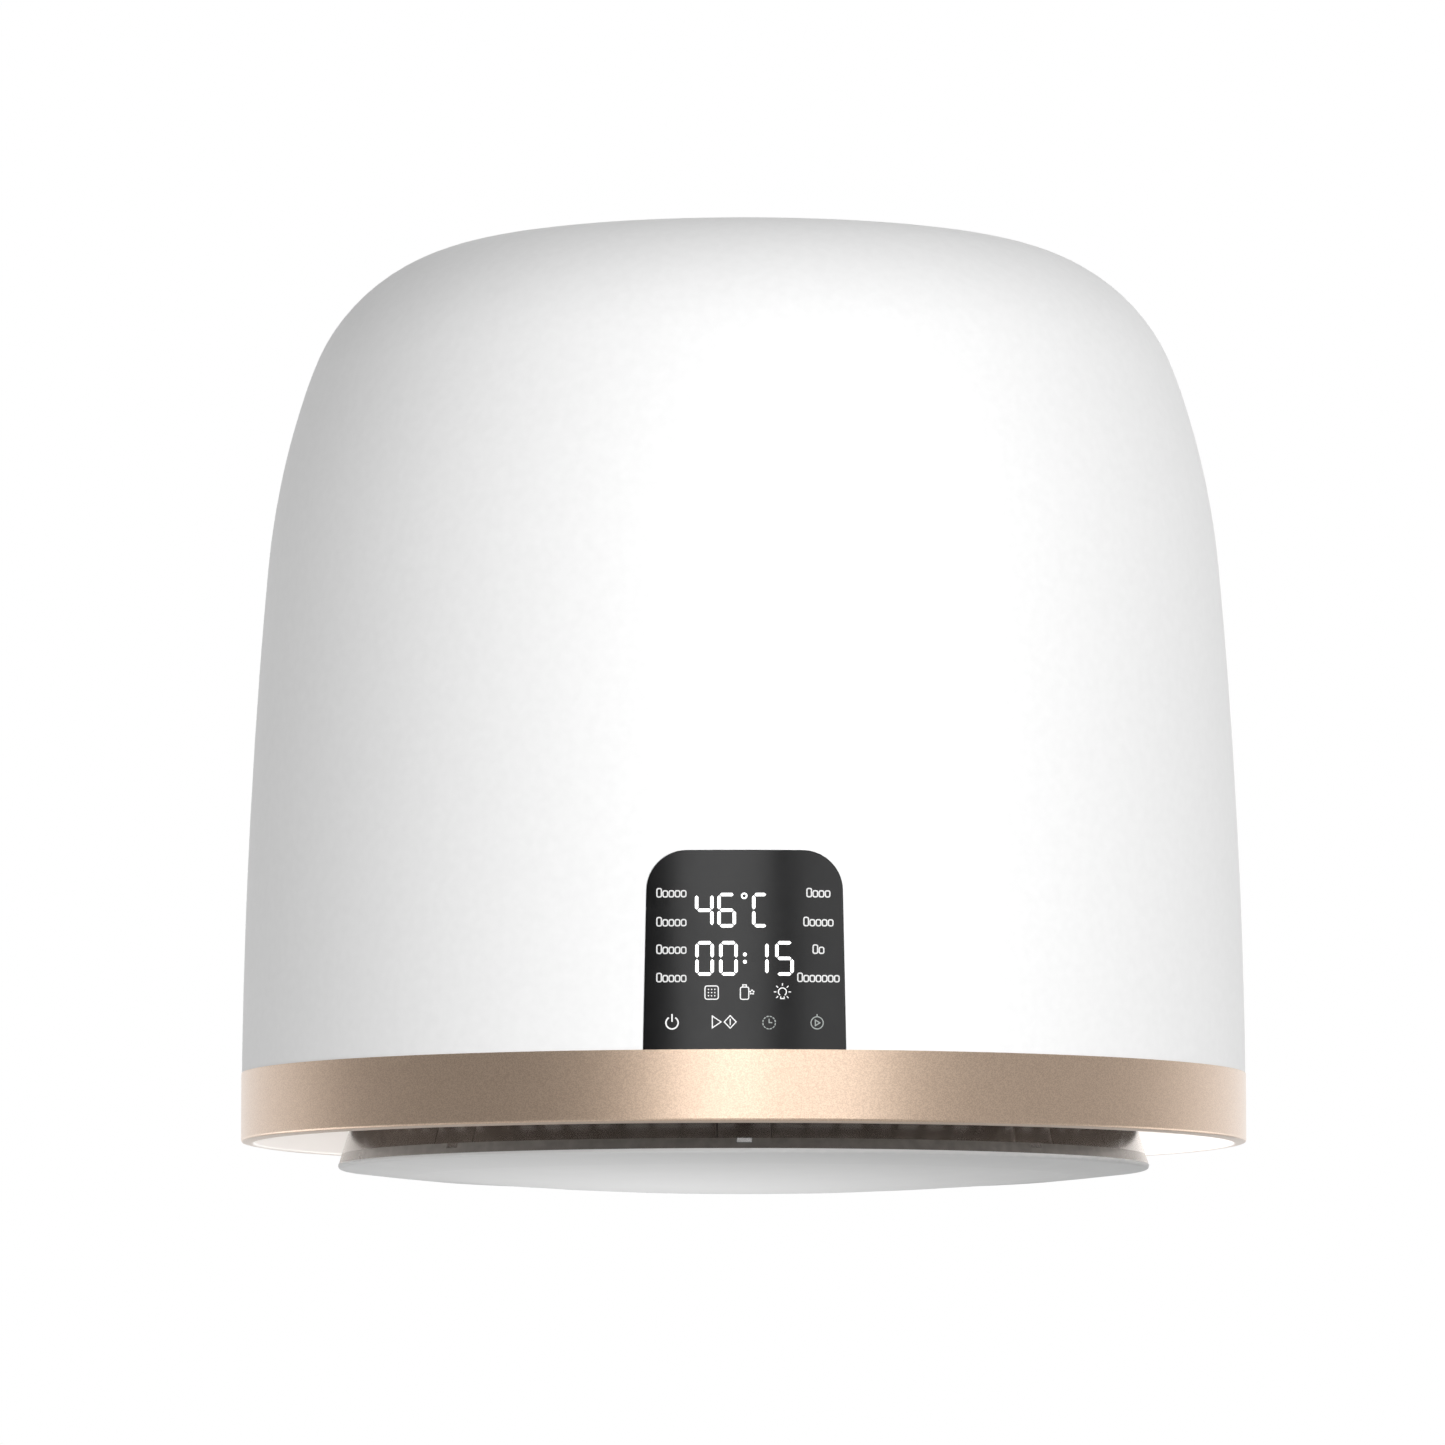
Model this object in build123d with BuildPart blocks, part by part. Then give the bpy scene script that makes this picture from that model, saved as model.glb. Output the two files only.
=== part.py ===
from build123d import *
import os
from math import asin, cos, degrees, radians, sin, sqrt

os.makedirs("parts", exist_ok=True)

# A hanging warm-air dryer for boots and garments: a domed housing that hangs on a folding bail in its
# crown, draws air in through a filter at the rear and blows it down through a ring at its foot.
# +Z is up, -Y is the front. The origin is the middle of the bail's two pivots, on the dome's axis.

# ---- Driving dimensions, in millimetres ----------------------------------------------------------
RIM_Z = -240.0  # where the housing meets the trim band
WALL = 2.8  # housing wall
DOME_RIM_R = 149.8  # outside of the housing at the rim
DOME_LEAN = 0.58  # degrees that the wall leans in at the rim
DOME_ARCS = ((1956.0, 4.42), (231.7, 15.05), (58.1, 62.09))  # radius and sweep, from the rim upwards
CROWN_SWEEP = 90.0 - DOME_LEAN - sum(sweep for _, sweep in DOME_ARCS)

BAND_R, BAND_IN_R, BAND_H, LIP_DROP = 150.0, 146.0, 20.3, 0.7
RIM_FLANGE_R, RIM_FLANGE_T = 138.0, 2.5  # the band's inward flange
RIM_SCREW_R, GRILLE_SCREW_R = 142.5, 141.5  # screw circles in that flange

LIP_H = -(BAND_H + LIP_DROP)  # lowest edge of the band
CONE_LIP_R, CONE_SLOPE = 119.0, 0.321  # outlet cone, level with that edge
SEAM_H, DISC_H = LIP_H - 3.0, LIP_H - 6.0  # foot of the cone and top of the disc
CONE_WALL = 2.0
TAB_COUNT, TAB_W, TAB_H, SLIT_W, SLIT_ANGLE = 8, 4.2, 1.2, 0.5, 3.8
DISC_R, DISH_R, DISH_APEX_H = 121.0, 1031.0, -35.4
DISC_T, RECESS_R, RECESS_DEPTH = 2.2, 97.4, 0.5

PANEL_H, PANEL_FOOT, PANEL_TOP, PANEL_CORNER = 57.0, 28.95, 27.8, 11.4
LENS_T, LENS_GAP, LENS_LEDGE = 2.0, 0.15, 2.5
FRONT, REAR = Plane.XZ.offset(155), Plane.XZ.offset(-155)  # clear of the housing, both facing -Y

INTAKE_W, INTAKE_T, INTAKE_R, INTAKE_H = 116.0, 80.0, 18.0, 158.0
COVER_FACE, COVER_RIM, COVER_GAP, COVER_Y = 2.5, 2.0, 0.5, 109.0
SLEEVE_Y, SLEEVE_T, GUARD_T = 105.0, 2.4, 2.0

CUP_W, CUP_L, CUP_R, CUP_Y = 124.0, 98.0, 14.0, 33.0
CUP_T, CUP_FLANGE, CUP_SKIN, CUP_FLOOR = 2.0, 4.0, 1.6, -9.0
WELL_Y, WELL_W, WELL_L, WELL_R, WELL_DEPTH = 71.0, 112.0, 20.0, 9.0, 7.0  # finger well under the grip
BAIL_ROD_R, BAIL_ARM_X, BAIL_REACH, BAIL_BEND = 4.5, 55.0, 58.0, 12.0
PIVOT_PIN_R, PIVOT_GAP = 2.5, 0.05
PLATE_Z, STEEL_T = -17.5, 2.5  # top of the load bracket's plate
ROD_X, ROD_R = 56.0, 3.0

FAN_R, SHROUD_T, FAN_FOOT, FAN_TOP = 92.0, 2.5, 60.0, 120.0
HEATER_R, HEATER_FOOT, HEATER_TOP = 103.0, 38.0, 58.0
STACK_R, BRACKET_T = 99.0, 3.0
MOTOR_R, MOTOR_FOOT, MOTOR_TOP, SHAFT_R = 30.0, 123.0, 163.0, 3.0
BLADES = 7

INLET_H, INLET_FACE_Y, INLET_SEAT_Y = 34.0, 146.5, 144.5
BOARD_Y, BOARD_T, CARRIER_T, KEY_H = -138.1, 1.6, 2.0, 7.8
KEY_X = (-20.7, -6.1, 7.0, 20.8)
LABEL_H = (44.9, 36.6, 28.7, 20.6)
LABEL_X, ICON_X, ICON_H = 21.1, (-9.4, 0.4, 10.8), 16.2


def up(height):
    """The Z of a height above the rim."""
    return RIM_Z + height


def cone_r(height):
    """The outlet cone's outer radius at a height above the rim."""
    return CONE_LIP_R + (LIP_H - height) * CONE_SLOPE


def dish_z(radius, lift=0.0):
    """The Z of the bottom disc's shallow spherical underside."""
    return up(DISH_APEX_H + lift) + DISH_R - sqrt(DISH_R**2 - radius**2)


def dish_arc(start_r, end_r, lift):
    """Arc of the dish's section from one radius to another, raised by lift."""
    start, end = (degrees(asin(radius / DISH_R)) for radius in (start_r, end_r))
    return CenterArc((0, up(DISH_APEX_H + lift) + DISH_R), DISH_R, start - 90, end - start)


def outline(*corners):
    """A closed half section of (radius, height above the rim) corners."""
    with BuildSketch(Plane.XZ) as face:
        with BuildLine():
            Polyline(*[(radius, up(height)) for radius, height in corners], close=True)
        make_face()
    return face.sketch


def dome_face(inset=0.0):
    """Half section of all that lies deeper than inset under the dome's surface."""
    lean = radians(DOME_LEAN)
    with BuildSketch(Plane.XZ) as face:
        with BuildLine():
            foot = start = Vector(DOME_RIM_R - inset, RIM_Z)
            heading = Vector(-sin(lean), cos(lean))
            for radius, sweep in DOME_ARCS:
                arc = JernArc(start, heading, radius - inset, sweep)
                start, heading = arc @ 1, arc % 1
            crown = JernArc(start, heading, start.X / sin(radians(CROWN_SWEEP)), CROWN_SWEEP)
            Polyline(crown @ 1, (0, RIM_Z), foot)
        make_face()
    return face.sketch


def panel_face(margin=0.0):
    """The display's outline from the front, grown by margin."""
    with BuildSketch(FRONT) as face:
        with BuildLine():
            Polyline(
                (-PANEL_FOOT, RIM_Z),
                (PANEL_FOOT, RIM_Z),
                (PANEL_TOP, up(PANEL_H)),
                (-PANEL_TOP, up(PANEL_H)),
                close=True,
            )
        make_face()
        fillet(face.vertices().group_by(Axis.Y)[-1], PANEL_CORNER)
        if margin:
            offset(amount=margin)
    return face.sketch


def intake_face(margin=0.0, plane=REAR):
    """The rear intake's outline, grown by margin."""
    with BuildSketch(plane) as face:
        with Locations((0, up(INTAKE_H))):
            RectangleRounded(INTAKE_W + 2 * margin, INTAKE_T + 2 * margin, INTAKE_R + margin)
    return face.sketch


def cup_face(margin, height):
    """The bail recess's outline from above, grown by margin."""
    with BuildSketch(Plane.XY.offset(height)) as face:
        with Locations((0, CUP_Y)):
            RectangleRounded(CUP_W + 2 * margin, CUP_L + 2 * margin, CUP_R + margin)
    return face.sketch


def pocket(face, reach, depth):
    """An outline pushed along by reach, as far as a depth under the dome's skin."""
    with BuildPart() as block:
        extrude(face, amount=reach)
        revolve(dome_face(depth), axis=Axis.Z, mode=Mode.SUBTRACT)
    return block.part


def skin_patch(face, reach, depth):
    """The dome's skin, to a depth, where an outline pushed along by reach goes through it."""
    with BuildPart() as patch:
        add(pocket(face, reach, depth))
        revolve(dome_face(), axis=Axis.Z, mode=Mode.INTERSECT)
    return patch.part


def discs_on(plane, places, radius, length):
    """Cylinders of one radius, standing on a plane at a list of places."""
    with BuildSketch(plane) as face:
        with Locations(*places):
            Circle(radius)
    return extrude(face.sketch, amount=length, mode=Mode.PRIVATE)


def round_places(radius, count, first):
    """Evenly spaced places on a circle, the first at an angle in degrees."""
    turns = [radians(first + 360 * number / count) for number in range(count)]
    return [(radius * cos(turn), radius * sin(turn)) for turn in turns]


def screws(plane, places, head_r, head_t, shank_r, shank_l):
    """Screws whose heads lie behind a plane and whose shanks point along its normal."""
    with BuildPart() as group:
        add(discs_on(plane, places, head_r, -head_t))
        add(discs_on(plane, places, shank_r, shank_l))
        with BuildSketch(plane.offset(-head_t)):
            with Locations(*places):
                RegularPolygon(head_r * 0.5, 6)
        extrude(amount=head_t * 0.6, mode=Mode.SUBTRACT)
    return group


RIM_PLACES = round_places(RIM_SCREW_R, 8, 22.5)
GRILLE_PLACES = round_places(GRILLE_SCREW_R, 8, 0)
CORE_PLACES = round_places(107.5, 8, 22.5)
DISC_PLACES = round_places(104.0, 6, 0)
STACK_PLACES = round_places(STACK_R, 4, 45)
BRACKET_PLACES = round_places(101.0, 4, 22.5)
EAR_PLACES = [(x, up(INTAKE_H + z)) for x in (-68, 68) for z in (-25, 25)]
CARRIER_PLACES = [(x, up(z)) for x in (-38, 38) for z in (11, 50)]

# ---- Housing -------------------------------------------------------------------------------------
lens_pocket = pocket(panel_face(LENS_GAP), -60, LENS_T)
cup_rebate = pocket(cup_face(CUP_FLANGE + LENS_GAP, -30), 60, CUP_SKIN)

with BuildPart() as housing:
    revolve(dome_face(), axis=Axis.Z)
    revolve(dome_face(WALL), axis=Axis.Z, mode=Mode.SUBTRACT)
    # Bosses: for the rim screws, the intake frame, the display carrier and the mains inlet's seat
    add(discs_on(Plane.XY.offset(up(RIM_FLANGE_T)), RIM_PLACES, 5.0, 13.5))
    add(discs_on(Plane.XZ.offset(-SLEEVE_Y - 3), EAR_PLACES, 4.0, -40))
    add(discs_on(Plane.XZ.offset(-BOARD_Y - BOARD_T), CARRIER_PLACES, 3.2, 20))
    with BuildSketch(Plane.XZ.offset(-INLET_SEAT_Y + 3)):
        with Locations((0, up(INLET_H))):
            RectangleRounded(40, 32, 3)
    extrude(amount=-6)
    revolve(dome_face(), axis=Axis.Z, mode=Mode.INTERSECT)
    add(discs_on(Plane.XY.offset(up(RIM_FLANGE_T)), RIM_PLACES, 1.55, 12), mode=Mode.SUBTRACT)
    add(discs_on(Plane.XZ.offset(-SLEEVE_Y - 3), EAR_PLACES, 1.55, -13), mode=Mode.SUBTRACT)
    add(discs_on(Plane.XZ.offset(-BOARD_Y - BOARD_T), CARRIER_PLACES, 1.25, 5), mode=Mode.SUBTRACT)
    # Display pocket, and the window inside its ledge
    add(lens_pocket, mode=Mode.SUBTRACT)
    extrude(panel_face(-LENS_LEDGE), amount=-30, mode=Mode.SUBTRACT)
    # Rear intake
    extrude(intake_face(COVER_GAP), amount=155 - SLEEVE_Y, mode=Mode.SUBTRACT)
    # Crown opening for the bail cup
    add(cup_rebate, mode=Mode.SUBTRACT)
    extrude(cup_face(CUP_T + LENS_GAP, -30), amount=60, mode=Mode.SUBTRACT)
    # Mains inlet: a pocket for its flange and a hole for its body
    with BuildSketch(REAR):
        with Locations((0, up(INLET_H))):
            RectangleRounded(31.4, 24.4, 3)
    extrude(amount=155 - INLET_SEAT_Y, mode=Mode.SUBTRACT)
    with BuildSketch(REAR):
        with Locations((0, up(INLET_H))):
            Rectangle(27.2, 20.2)
    extrude(amount=20, mode=Mode.SUBTRACT)

# ---- Trim band and outlet ------------------------------------------------------------------------
with BuildPart() as trim_band:
    revolve(
        outline(
            (BAND_R, 0),
            (BAND_R, -BAND_H),
            (BAND_IN_R, LIP_H),
            (BAND_IN_R, -RIM_FLANGE_T),
            (RIM_FLANGE_R, -RIM_FLANGE_T),
            (RIM_FLANGE_R, 0),
        ),
        axis=Axis.Z,
    )
    lip_edges = trim_band.edges().filter_by(GeomType.CIRCLE).sort_by(Axis.Z)[:2]
    fillet(lip_edges, 0.7)
    add(discs_on(Plane.XY.offset(up(1)), RIM_PLACES, 1.9, -8), mode=Mode.SUBTRACT)
    add(discs_on(Plane.XY.offset(up(1)), GRILLE_PLACES, 1.6, -8), mode=Mode.SUBTRACT)

with BuildPart() as lower_duct:
    revolve(
        outline(
            (134, 0),
            (146.6, 0),
            (146.6, 2.5),
            (137, 2.5),
            (99, 35),
            (HEATER_R, 35),
            (HEATER_R, HEATER_FOOT),
            (96, HEATER_FOOT),
            (96, 36),
            (134, 2.2),
        ),
        axis=Axis.Z,
    )
    add(discs_on(Plane.XY.offset(up(-1)), RIM_PLACES, 1.9, 8), mode=Mode.SUBTRACT)
    add(discs_on(Plane.XY.offset(up(-1)), GRILLE_PLACES, 1.6, 8), mode=Mode.SUBTRACT)
    add(discs_on(Plane.XY.offset(up(34)), STACK_PLACES, 2.05, 8), mode=Mode.SUBTRACT)

GRILLE_FOOT, GRILLE_TOP = -10.0, -5.0
with BuildPart() as outlet_grille:
    for inner, outer, low, high in (
        (116.0, 117.4, GRILLE_FOOT, GRILLE_TOP),
        (143.8, 145.7, GRILLE_FOOT, GRILLE_TOP),
        (102.0, 116.4, -7.0, GRILLE_TOP),
        (123.4, 124.6, -8.5, -6.5),
        (130.4, 131.6, -8.5, -6.5),
        (137.4, 138.6, -8.5, -6.5),
    ):
        with BuildSketch(Plane.XY.offset(up(low))):
            Circle(outer)
            Circle(inner, mode=Mode.SUBTRACT)
        extrude(amount=high - low)
    with BuildSketch(Plane.XY.offset(up(-9.5))):
        with PolarLocations(130.6, 72):
            Rectangle(27.0, 1.2)
    extrude(amount=4)
    with BuildSketch(Plane.XY.offset(up(GRILLE_FOOT))):
        with PolarLocations(130.6, 8):
            Rectangle(27.0, 3.0)
        with PolarLocations(GRILLE_SCREW_R, 8):
            Circle(3.6)
    extrude(amount=GRILLE_TOP - GRILLE_FOOT)
    add(discs_on(Plane.XY.offset(up(GRILLE_TOP)), GRILLE_PLACES, 3.6, 2.5))
    add(discs_on(Plane.XY.offset(up(GRILLE_FOOT)), GRILLE_PLACES, 1.6, 8), mode=Mode.SUBTRACT)
    add(discs_on(Plane.XY.offset(up(GRILLE_FOOT)), GRILLE_PLACES, 2.8, 2), mode=Mode.SUBTRACT)
    add(discs_on(Plane.XY.offset(up(-8)), CORE_PLACES, 1.6, 4), mode=Mode.SUBTRACT)

with BuildPart() as flow_core:
    revolve(
        outline(
            (0, 26),
            (34, 26),
            (112.5, 7),
            (115, 3.5),
            (115, -5),
            (101, -5),
            (101, -3),
            (112.8, -3),
            (112.8, 3),
            (111.2, 5),
            (33.5, 23.8),
            (0, 23.8),
        ),
        axis=Axis.Z,
    )
    add(discs_on(Plane.XY.offset(up(-5)), CORE_PLACES, 4.0, 11.5))
    add(discs_on(Plane.XY.offset(up(-5)), CORE_PLACES, 1.55, 8), mode=Mode.SUBTRACT)

TAB_PLANE = Plane.XY.offset(up(SEAM_H))
with BuildPart() as outlet_cone:
    revolve(
        outline(
            (102, -7),
            (cone_r(-7), -7),
            (cone_r(SEAM_H), SEAM_H),
            (cone_r(SEAM_H) - CONE_WALL, SEAM_H),
            (cone_r(-9) - CONE_WALL, -9),
            (102, -9),
        ),
        axis=Axis.Z,
    )
    # Snap tongues: a slit on each side of every tab, and the tab at its foot
    with BuildSketch(TAB_PLANE.offset(-1)):
        for side in (-SLIT_ANGLE, SLIT_ANGLE):
            with PolarLocations(118.0, TAB_COUNT, start_angle=side):
                Rectangle(8.0, SLIT_W)
    extrude(amount=12, mode=Mode.SUBTRACT)
    with BuildSketch(TAB_PLANE):
        with PolarLocations(cone_r(SEAM_H) - 1.0, TAB_COUNT):
            Rectangle(1.8, TAB_W)
    extrude(amount=-TAB_H)
    add(discs_on(Plane.XY.offset(up(-10)), CORE_PLACES, 1.6, 4), mode=Mode.SUBTRACT)

with BuildPart() as cone_base_ring:
    revolve(
        outline(
            (cone_r(SEAM_H), SEAM_H),
            (cone_r(DISC_H), DISC_H),
            (100, DISC_H),
            (100, DISC_H + 2),
            (113.6, DISC_H + 2),
            (113.6, -17),
            (115.4, -17),
            (117.6, SEAM_H),
        ),
        axis=Axis.Z,
    )
    with BuildSketch(TAB_PLANE):
        with PolarLocations(cone_r(SEAM_H) - 0.3, TAB_COUNT):
            Rectangle(3.6, TAB_W + 0.4)
    extrude(amount=-TAB_H - 0.3, mode=Mode.SUBTRACT)
    add(discs_on(Plane.XY.offset(up(DISC_H - 1)), DISC_PLACES, 1.6, 5), mode=Mode.SUBTRACT)

with BuildPart() as bottom_disc:
    with BuildSketch(Plane.XZ) as disc_section:
        with BuildLine():
            step_in, step_out, roof_r = RECESS_R - 1.2, RECESS_R + 1.2, RECESS_R
            inner = dish_arc(0, step_in, RECESS_DEPTH)
            outer = dish_arc(step_out, DISC_R, 0)
            roof = dish_arc(0, roof_r, RECESS_DEPTH + DISC_T)
            Line(inner @ 1, outer @ 0)
            Polyline(outer @ 1, (DISC_R, up(DISC_H)), (roof_r, up(DISC_H)), roof @ 1)
            Line(roof @ 0, inner @ 0)
        make_face()
        fillet(disc_section.vertices().sort_by_distance((DISC_R, dish_z(DISC_R)))[0], 1.0)
        for foot in (inner @ 1, outer @ 0):
            fillet(disc_section.vertices().sort_by_distance(foot)[0], 8.0)
    revolve(axis=Axis.Z)
    add(discs_on(Plane.XY.offset(up(DISC_H)), DISC_PLACES, 1.55, -2.2), mode=Mode.SUBTRACT)

# ---- Ultraviolet ring behind the cone ------------------------------------------------------------
with BuildPart() as uv_board:
    with BuildSketch(Plane.XY.offset(up(-9))):
        Circle(111.5)
        Circle(98, mode=Mode.SUBTRACT)
        with Locations(*CORE_PLACES):
            Circle(3.2, mode=Mode.SUBTRACT)
    extrude(amount=-1.6)

with BuildPart() as uv_leds:
    with BuildSketch(Plane.XY.offset(up(-10.6))):
        with PolarLocations(107.0, 16, start_angle=11.25):
            Rectangle(3.5, 3.5)
    extrude(amount=-1.4)

# ---- Heater --------------------------------------------------------------------------------------
RAIL_X, RAIL_T, BAR_T, BAR_PITCH = 60.0, 4.0, 4.0, 24.0
with BuildPart() as heater_frame:
    with BuildSketch(Plane.XY.offset(up(HEATER_FOOT))):
        Circle(HEATER_R)
        Circle(96, mode=Mode.SUBTRACT)
        for side in (-1, 1):
            with Locations((side * (RAIL_X + RAIL_T / 2), 0)):
                Rectangle(RAIL_T, 147)
        with Locations(*STACK_PLACES):
            Circle(2.05, mode=Mode.SUBTRACT)
    extrude(amount=HEATER_TOP - HEATER_FOOT)

with BuildPart() as heater_bars:
    with BuildSketch(Plane.XY.offset(up(HEATER_FOOT + 2))):
        with GridLocations(0, BAR_PITCH, 1, 6):
            Rectangle(2 * RAIL_X, BAR_T)
    extrude(amount=16)

with BuildPart() as heater_fins:
    with BuildSketch(Plane.XY.offset(up(HEATER_FOOT + 3))):
        with GridLocations(0, BAR_PITCH, 1, 5):
            Rectangle(2 * RAIL_X - 2, 0.8)
        with GridLocations(4.8, BAR_PITCH, 24, 5):
            Rectangle(0.5, BAR_PITCH - BAR_T)
    extrude(amount=14)

with BuildPart() as thermal_cutout:
    with BuildSketch(Plane.YZ.offset(RAIL_X + RAIL_T)):
        with Locations((0, up(48))):
            SlotOverall(28, 8)
    extrude(amount=1.2)
    with BuildSketch(Plane.YZ.offset(RAIL_X + RAIL_T + 1.2)):
        with Locations((0, up(48))):
            Circle(7)
    extrude(amount=8)

with BuildPart() as air_sensor:
    with BuildSketch(Plane.XY.offset(up(HEATER_FOOT))):
        with Locations((-RAIL_X - RAIL_T / 2, 0)):
            Circle(2)
    extrude(amount=-9)
    fillet(air_sensor.edges().sort_by(Axis.Z)[0], 1.5)

# ---- Fan -----------------------------------------------------------------------------------------
with BuildPart() as fan_isolators:
    with BuildSketch(Plane.XY.offset(up(HEATER_TOP))):
        with Locations(*STACK_PLACES):
            Circle(3.9)
            Circle(2.05, mode=Mode.SUBTRACT)
    extrude(amount=FAN_FOOT - HEATER_TOP)

with BuildPart() as fan_shroud:
    revolve(
        outline(
            (FAN_R, FAN_FOOT),
            (HEATER_R, FAN_FOOT),
            (HEATER_R, FAN_FOOT + 3),
            (FAN_R + SHROUD_T, FAN_FOOT + 3),
            (FAN_R + SHROUD_T, 108),
            (99, 117),
            (104, 117),
            (104, FAN_TOP),
            (98, FAN_TOP),
            (FAN_R, 108),
        ),
        axis=Axis.Z,
    )
    add(discs_on(Plane.XY.offset(up(FAN_FOOT - 1)), STACK_PLACES, 2.05, 6), mode=Mode.SUBTRACT)
    add(discs_on(Plane.XY.offset(up(FAN_TOP + 1)), BRACKET_PLACES, 1.55, -6), mode=Mode.SUBTRACT)

with BuildPart() as motor_bracket:
    with BuildSketch(Plane.XY.offset(up(FAN_TOP))):
        Circle(104)
        Circle(98, mode=Mode.SUBTRACT)
        Rectangle(200, 13)
        Rectangle(13, 200)
        Circle(32)
        Circle(10, mode=Mode.SUBTRACT)
        with Locations((-ROD_X, 0), (ROD_X, 0)):
            Circle(ROD_R + 0.1, mode=Mode.SUBTRACT)
        with Locations(*BRACKET_PLACES):
            Circle(1.65, mode=Mode.SUBTRACT)
    extrude(amount=BRACKET_T)

with BuildPart() as motor_can:
    revolve(
        outline(
            (4.5, MOTOR_FOOT),
            (MOTOR_R, MOTOR_FOOT),
            (MOTOR_R, MOTOR_TOP),
            (4.5, MOTOR_TOP),
            (4.5, MOTOR_TOP - 1),
            (8, MOTOR_TOP - 1),
            (8, MOTOR_TOP - 6),
            (11, MOTOR_TOP - 6),
            (11, MOTOR_TOP - 3),
            (MOTOR_R - 2, MOTOR_TOP - 3),
            (MOTOR_R - 2, MOTOR_FOOT + 3),
            (11, MOTOR_FOOT + 3),
            (11, MOTOR_FOOT + 6),
            (8, MOTOR_FOOT + 6),
            (8, MOTOR_FOOT + 1),
            (4.5, MOTOR_FOOT + 1),
        ),
        axis=Axis.Z,
    )

with BuildPart() as motor_bearings:
    for foot in (MOTOR_FOOT + 1, MOTOR_TOP - 6):
        with BuildSketch(Plane.XY.offset(up(foot))):
            Circle(8)
            Circle(SHAFT_R + 0.05, mode=Mode.SUBTRACT)
        extrude(amount=5)

STATOR_FOOT, STATOR_H = MOTOR_FOOT + 9, 20.0
with BuildPart() as motor_stator:
    with BuildSketch(Plane.XY.offset(up(STATOR_FOOT))):
        Circle(MOTOR_R - 2)
        Circle(14, mode=Mode.SUBTRACT)
        with PolarLocations(19.5, 6, start_angle=30):
            Rectangle(9, 7, mode=Mode.SUBTRACT)
    extrude(amount=STATOR_H)

with BuildPart() as stator_coils:
    for foot in (STATOR_FOOT - 2.5, STATOR_FOOT + STATOR_H):
        with BuildSketch(Plane.XY.offset(up(foot))):
            Circle(25)
            Circle(16, mode=Mode.SUBTRACT)
        extrude(amount=2.5)

with BuildPart() as motor_rotor:
    with BuildSketch(Plane.XY.offset(up(STATOR_FOOT))):
        Circle(13.2)
        Circle(SHAFT_R + 0.02, mode=Mode.SUBTRACT)
    extrude(amount=STATOR_H)

with BuildPart() as motor_shaft:
    with BuildSketch(Plane.XY.offset(up(76))):
        Circle(SHAFT_R)
    extrude(amount=MOTOR_TOP + 4 - 76)
    chamfer(motor_shaft.edges().filter_by(GeomType.CIRCLE), 0.5)

HUB_FOOT, HUB_TOP, HUB_R = 80.0, 106.0, 24.0
with BuildPart() as blade:
    for reach, chord, thick, twist in ((HUB_R - 1.5, 30, 2.4, 42), (FAN_R + 1, 46, 1.6, 66)):
        with BuildSketch(Plane.YZ.offset(reach)):
            with Locations((0, up(93))):
                Rectangle(thick, chord, rotation=twist)
    loft()
    with BuildSketch(Plane.XY.offset(up(70))):
        Circle(FAN_R - 1.6)
    extrude(amount=50, mode=Mode.INTERSECT)

with BuildPart() as impeller:
    revolve(
        outline(
            (SHAFT_R + 0.02, HUB_FOOT + 4),
            (7, HUB_FOOT + 4),
            (7, HUB_TOP - 3),
            (HUB_R - 2.2, HUB_TOP - 3),
            (HUB_R - 2.2, HUB_FOOT),
            (HUB_R, HUB_FOOT),
            (HUB_R, HUB_TOP),
            (SHAFT_R + 0.02, HUB_TOP),
        ),
        axis=Axis.Z,
    )
    with PolarLocations(0, BLADES):
        add(blade.part)

with BuildPart() as impeller_nut:
    with BuildSketch(Plane.XY.offset(up(HUB_FOOT + 4))):
        RegularPolygon(5.5, 6)
        Circle(SHAFT_R + 0.02, mode=Mode.SUBTRACT)
    extrude(amount=-4)

# ---- Hanging gear in the crown -------------------------------------------------------------------
with BuildPart() as bail_cup:
    extrude(cup_face(CUP_T, CUP_FLOOR - CUP_T), amount=60)
    with BuildSketch(Plane.XY.offset(CUP_FLOOR - WELL_DEPTH - CUP_T)):
        with Locations((0, WELL_Y)):
            RectangleRounded(WELL_W + 2 * CUP_T, WELL_L + 2 * CUP_T, WELL_R + CUP_T)
    extrude(amount=WELL_DEPTH + CUP_T)
    revolve(dome_face(), axis=Axis.Z, mode=Mode.INTERSECT)
    add(skin_patch(cup_face(CUP_FLANGE, -30), 60, CUP_SKIN))
    extrude(cup_face(0, CUP_FLOOR), amount=60, mode=Mode.SUBTRACT)
    with BuildSketch(Plane.XY.offset(CUP_FLOOR - WELL_DEPTH)):
        with Locations((0, WELL_Y)):
            RectangleRounded(WELL_W, WELL_L, WELL_R)
    extrude(amount=20, mode=Mode.SUBTRACT)
    # Two ribs that the folded bail lies on
    with BuildSketch(Plane.XY.offset(CUP_FLOOR)):
        with Locations((-38, 54), (38, 54)):
            RectangleRounded(6, 10, 1.5)
    extrude(amount=-CUP_FLOOR - BAIL_ROD_R - 0.3)
    with BuildSketch(Plane.YZ.offset(-80)):
        Circle(PIVOT_PIN_R + 0.1)
    extrude(amount=160, mode=Mode.SUBTRACT)

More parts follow.
